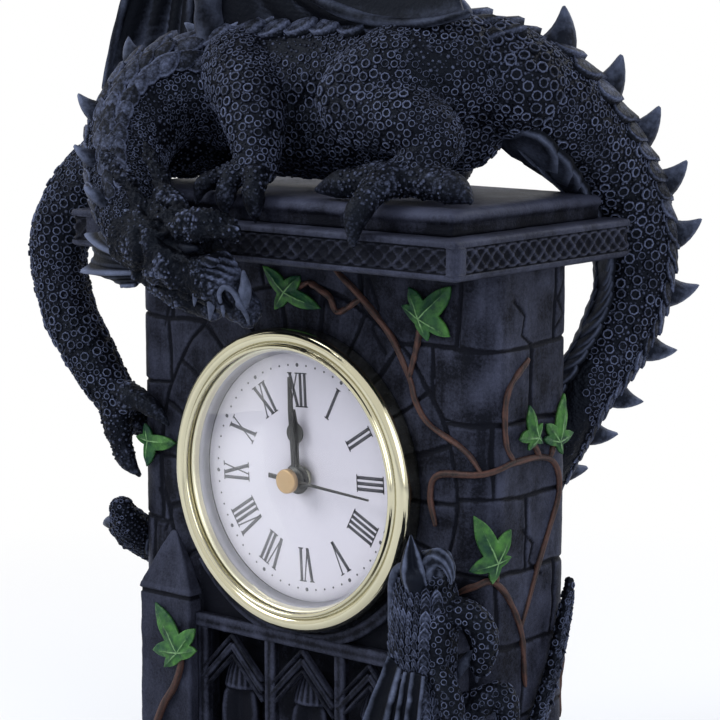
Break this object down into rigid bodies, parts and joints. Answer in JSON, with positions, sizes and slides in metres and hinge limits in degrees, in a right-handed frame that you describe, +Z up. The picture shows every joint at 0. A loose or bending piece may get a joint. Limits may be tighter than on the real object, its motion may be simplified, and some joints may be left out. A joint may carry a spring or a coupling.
{
  "type": "dragon clock",
  "caption": "Mantel clock cast as a gothic stone tower with a dragon lying over its roof, a hatchling climbing a corner, and a press-in quartz clock with a domed lens in its front.",
  "frame": {"origin": "centre of the felt base's underside", "axes": "+Z up the tower, -Y out of the dial, +X to the viewer's right"},
  "size_m": [0.1597, 0.1112, 0.2724],
  "materials": {
    "stone_casting": "painted cold-cast resin, dry-brushed",
    "dragon_casting": "painted cold-cast resin, dry-brushed",
    "wing_casting": "painted cold-cast resin",
    "vine_paint": "painted cold-cast resin",
    "leaf_paint": "painted cold-cast resin",
    "felt": "felt",
    "gilt_metal": "polished",
    "clear_glass": "polished",
    "reflector_metal": "satin",
    "dial_paint": "matte",
    "dark_plastic": "moulded",
    "black_rubber": "matte",
    "pale_plastic": "moulded",
    "black_hand": "painted satin",
    "copper_cap": "satin",
    "brass_part": "stamped",
    "plated_steel": "plated",
    "board_laminate": "solder mask",
    "copper_wire": "enamelled"
  },
  "bodies": {
    "tower_body": {"felt_base_sheet": "felt", "base_plinth": "stone_casting", "tower_casting": "stone_casting", "buttress_left": "stone_casting", "buttress_right": "stone_casting", "window_tracery": "stone_casting", "hooded_figures": "stone_casting", "cornice": "stone_casting", "top_slab": "stone_casting", "ivy_spray": "vine_paint", "ivy_buttress_sprig": "leaf_paint", "ivy_hand_leaf": "leaf_paint", "dragon_torso": "dragon_casting", "dragon_neck": "dragon_casting", "dragon_head": "dragon_casting", "dragon_jaw": "dragon_casting", "dragon_frill": "wing_casting", "dragon_right_arm": "dragon_casting", "dragon_left_arm": "dragon_casting", "dragon_left_leg": "dragon_casting", "dragon_right_leg": "dragon_casting", "dragon_tail_upper": "dragon_casting", "dragon_tail_middle": "dragon_casting", "dragon_tail_lower": "dragon_casting", "dragon_left_wing": "wing_casting", "dragon_right_wing": "wing_casting", "hatchling_body": "dragon_casting", "hatchling_tail": "dragon_casting", "hatchling_wings": "wing_casting"},
    "insert": {"bezel": "gilt_metal", "lens": "clear_glass", "reflector_ring": "reflector_metal", "dial": "dial_paint", "insert_cup": "dark_plastic", "grip_ring": "black_rubber", "front_plate": "pale_plastic", "gear_plate": "pale_plastic", "plate_screw_1": "plated_steel", "plate_screw_2": "plated_steel", "plate_screw_3": "plated_steel", "circuit_board": "board_laminate", "quartz_crystal": "plated_steel", "stator": "plated_steel", "drive_coil": "copper_wire", "battery": "plated_steel", "battery_contact": "brass_part"},
    "battery_cover": {"battery_cover": "dark_plastic"},
    "second_hand": {"second_hand": "black_hand", "hub_cap": "copper_cap", "second_wheel": "pale_plastic"},
    "minute_hand": {"minute_hand": "black_hand", "cannon_pinion": "brass_part"},
    "hour_hand": {"hour_hand": "black_hand", "hour_wheel": "pale_plastic"},
    "rotor": {"rotor": "dark_plastic"},
    "fifth_wheel": {"fifth_wheel": "pale_plastic"},
    "third_wheel": {"third_wheel": "pale_plastic"},
    "centre_wheel": {"centre_wheel": "brass_part"},
    "minute_wheel": {"minute_wheel": "pale_plastic"},
    "setting_knob": {"setting_knob": "dark_plastic"}
  },
  "joints": [
    {"name": "insert_slide", "type": "slide", "parent": "tower_body", "child": "insert", "axis": [0, -1, 0], "range_m": [0, 0.024]},
    {"name": "battery_cover_slide", "type": "slide", "parent": "insert", "child": "battery_cover", "axis": [0, 1, 0], "range_m": [0, 0.012]},
    {"name": "second_hand_turn", "type": "hinge", "parent": "insert", "child": "second_hand", "pos_m": [0, -0.017, 0.105], "axis": [0, 1, 0], "continuous": true},
    {"name": "minute_hand_turn", "type": "hinge", "parent": "insert", "child": "minute_hand", "pos_m": [0, -0.017, 0.105], "axis": [0, 1, 0], "continuous": true},
    {"name": "hour_hand_turn", "type": "hinge", "parent": "insert", "child": "hour_hand", "pos_m": [0, -0.017, 0.105], "axis": [0, 1, 0], "continuous": true},
    {"name": "rotor_turn", "type": "hinge", "parent": "insert", "child": "rotor", "pos_m": [-0.00215, -0.017, 0.09157], "axis": [0, 1, 0], "continuous": true},
    {"name": "fifth_wheel_turn", "type": "hinge", "parent": "insert", "child": "fifth_wheel", "pos_m": [0.00146, -0.017, 0.09673], "axis": [0, 1, 0], "continuous": true},
    {"name": "third_wheel_turn", "type": "hinge", "parent": "insert", "child": "third_wheel", "pos_m": [-0.00155, -0.017, 0.11379], "axis": [0, 1, 0], "continuous": true},
    {"name": "centre_wheel_turn", "type": "hinge", "parent": "insert", "child": "centre_wheel", "pos_m": [0, -0.017, 0.105], "axis": [0, 1, 0], "continuous": true},
    {"name": "minute_wheel_turn", "type": "hinge", "parent": "insert", "child": "minute_wheel", "pos_m": [-0.00886, -0.017, 0.10344], "axis": [0, 1, 0], "continuous": true},
    {"name": "setting_knob_turn", "type": "hinge", "parent": "insert", "child": "setting_knob", "pos_m": [-0.01773, -0.017, 0.10187], "axis": [0, 1, 0], "continuous": true}
  ],
  "couplings": [
    {"joint": "fifth_wheel_turn", "follows": "second_hand_turn", "ratio": -6},
    {"joint": "rotor_turn", "follows": "second_hand_turn", "ratio": 30},
    {"joint": "third_wheel_turn", "follows": "second_hand_turn", "ratio": -0.13333},
    {"joint": "centre_wheel_turn", "follows": "second_hand_turn", "ratio": 0.016667},
    {"joint": "minute_wheel_turn", "follows": "minute_hand_turn", "ratio": -0.33333},
    {"joint": "hour_hand_turn", "follows": "minute_hand_turn", "ratio": 0.083333},
    {"joint": "setting_knob_turn", "follows": "minute_hand_turn", "ratio": 1}
  ]
}
